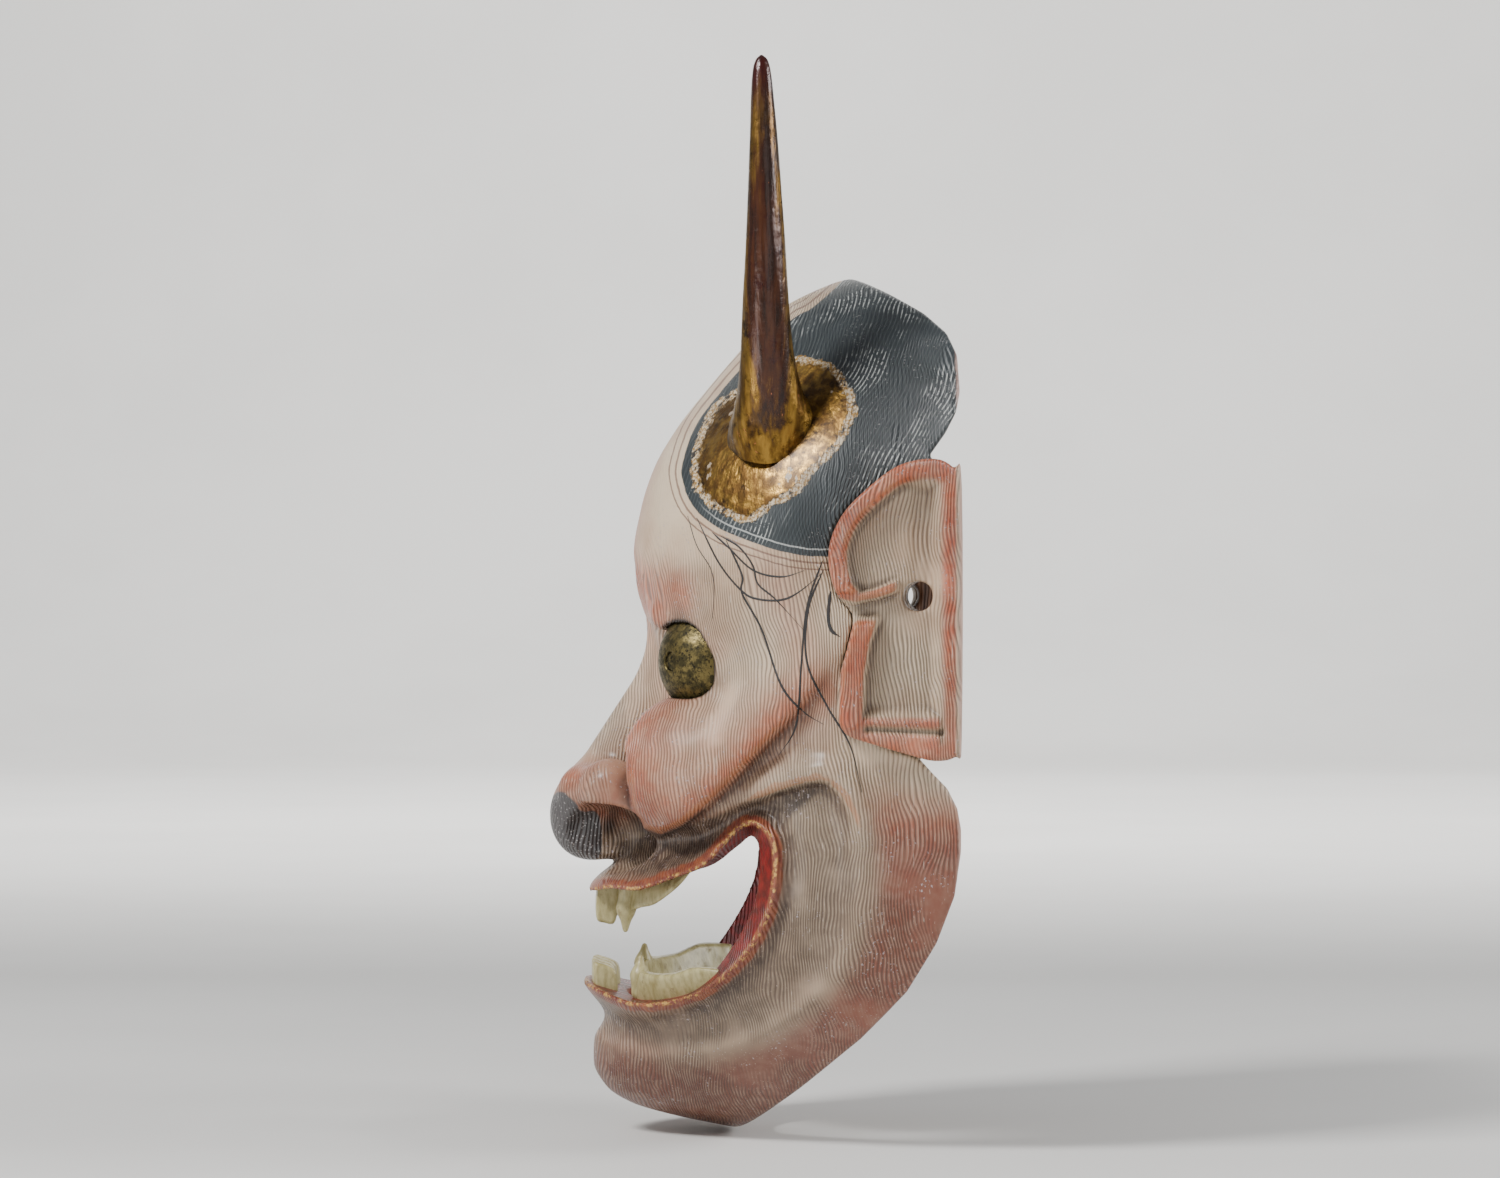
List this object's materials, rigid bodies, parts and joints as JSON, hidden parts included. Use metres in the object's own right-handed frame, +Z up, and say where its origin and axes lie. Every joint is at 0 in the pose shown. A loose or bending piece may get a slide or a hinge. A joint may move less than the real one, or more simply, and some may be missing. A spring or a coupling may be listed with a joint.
{
  "type": "noh mask",
  "caption": "Horned demon noh mask in carved, painted wood with gilded horns, domed metal eyes, bared teeth and fangs, worn by cords through the ears.",
  "frame": {"origin": "in the mask's middle plane, on the plane of the flat back rim, 1.7 mm above the cord holes", "axes": "the mask faces -Y, +Z up towards the horns, +X towards the wearer's left; +Y points back at the wearer"},
  "size_m": [0.148, 0.1009, 0.2614],
  "materials": {
    "face_paint": "satin shell-white paint rubbed with orange, black painted hair",
    "ear_paint": "satin orange and ivory paint",
    "horn_gilding": "worn gold leaf over dark lacquer",
    "eye_metal": "tarnished gilt copper",
    "tack_metal": "dull copper",
    "teeth": "satin yellowed gilding",
    "bamboo": "raw"
  },
  "bodies": {
    "root": {"mask_shell": "face_paint", "left_ear": "ear_paint", "right_ear": "ear_paint", "left_ear_dowels": "bamboo", "right_ear_dowels": "bamboo", "left_horn": "horn_gilding", "right_horn": "horn_gilding", "left_horn_peg": "bamboo", "right_horn_peg": "bamboo", "left_eye": "eye_metal", "right_eye": "eye_metal", "left_eye_tacks": "tack_metal", "right_eye_tacks": "tack_metal", "left_upper_fang": "teeth", "right_upper_fang": "teeth", "left_lower_fang": "teeth", "right_lower_fang": "teeth", "left_upper_molars": "teeth", "right_upper_molars": "teeth", "left_lower_molars": "teeth", "right_lower_molars": "teeth", "upper_incisors": "teeth", "lower_incisors": "teeth"}
  },
  "joints": []
}
